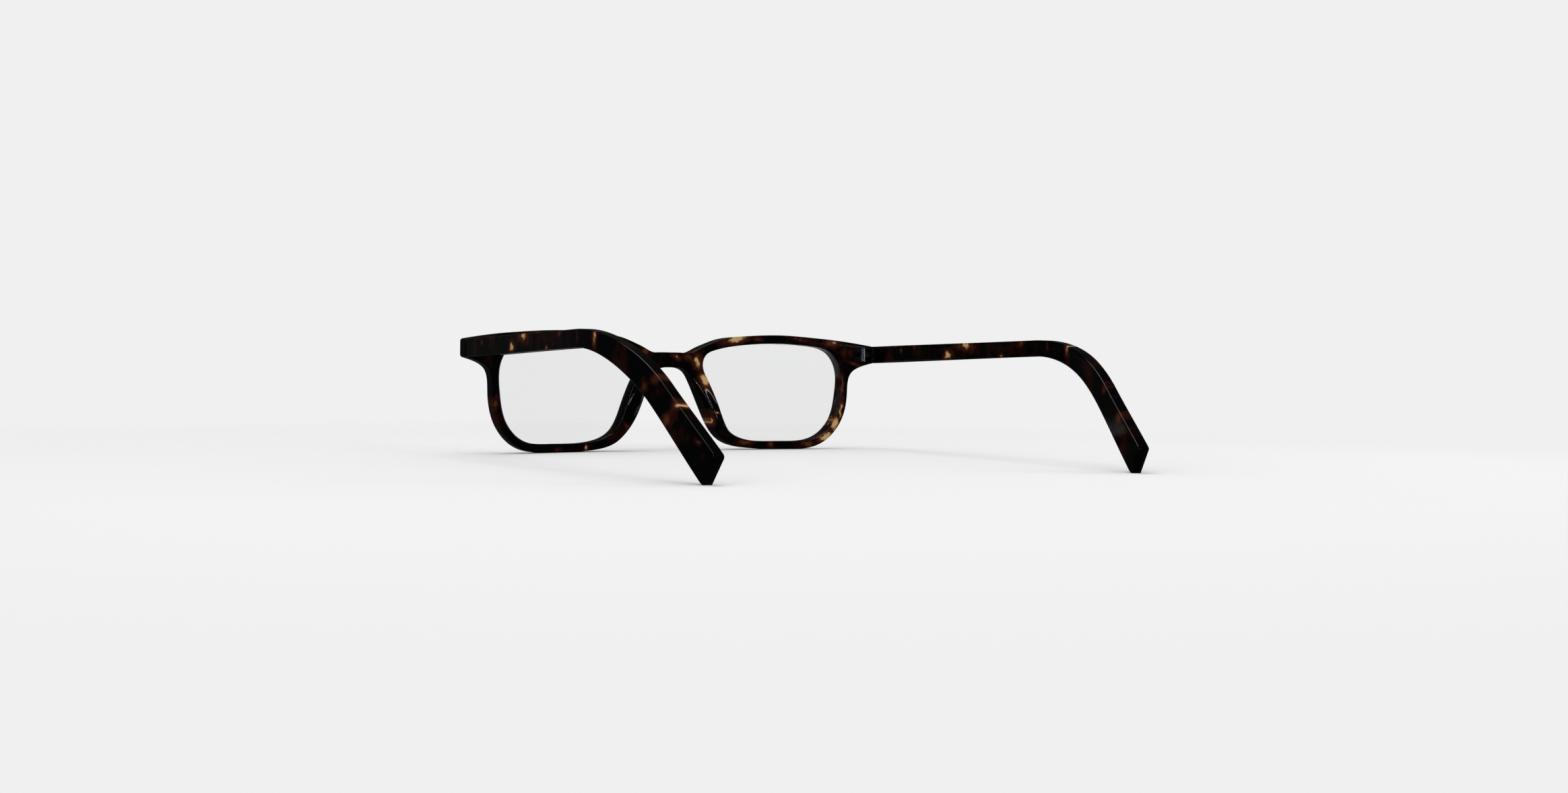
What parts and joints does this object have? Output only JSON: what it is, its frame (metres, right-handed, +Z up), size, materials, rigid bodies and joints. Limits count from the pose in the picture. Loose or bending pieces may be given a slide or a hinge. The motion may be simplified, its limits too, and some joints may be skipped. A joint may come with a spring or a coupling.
{
  "type": "eyeglasses",
  "caption": "Rectangular acetate eyeglasses with built-in nose pads and temples that fold inwards on barrel hinges.",
  "frame": {"origin": "on the surface the glasses stand on, at the middle of their footprint", "axes": "+Z up; +X towards the wearer's left; the lenses face -Y and the temples run towards +Y"},
  "size_m": [0.1406, 0.1378, 0.0344],
  "materials": {
    "front_acetate": "polished",
    "pad_acetate": "polished",
    "temple_acetate": "polished",
    "lens": "polished",
    "core_wire": "drawn",
    "hinge_metal": "satin",
    "screw_steel": "satin"
  },
  "bodies": {
    "front": {"front_frame": "front_acetate", "nose_pad_left": "pad_acetate", "nose_pad_right": "pad_acetate", "lens_left": "lens", "lens_right": "lens", "front_hinge_left": "hinge_metal", "front_hinge_right": "hinge_metal", "hinge_screw_left": "screw_steel", "hinge_screw_right": "screw_steel"},
    "temple_left": {"temple_left": "temple_acetate", "core_wire_left": "core_wire", "temple_hinge_left": "hinge_metal"},
    "temple_right": {"temple_right": "temple_acetate", "core_wire_right": "core_wire", "temple_hinge_right": "hinge_metal"}
  },
  "joints": [
    {"name": "fold_left", "type": "hinge", "parent": "front", "child": "temple_left", "pos_m": [0.0623, -0.05663, 0.0289], "axis": [0, 0, 1], "range_deg": [0, 89]},
    {"name": "fold_right", "type": "hinge", "parent": "front", "child": "temple_right", "pos_m": [-0.0623, -0.05663, 0.0289], "axis": [0, 0, -1], "range_deg": [0, 76]}
  ]
}
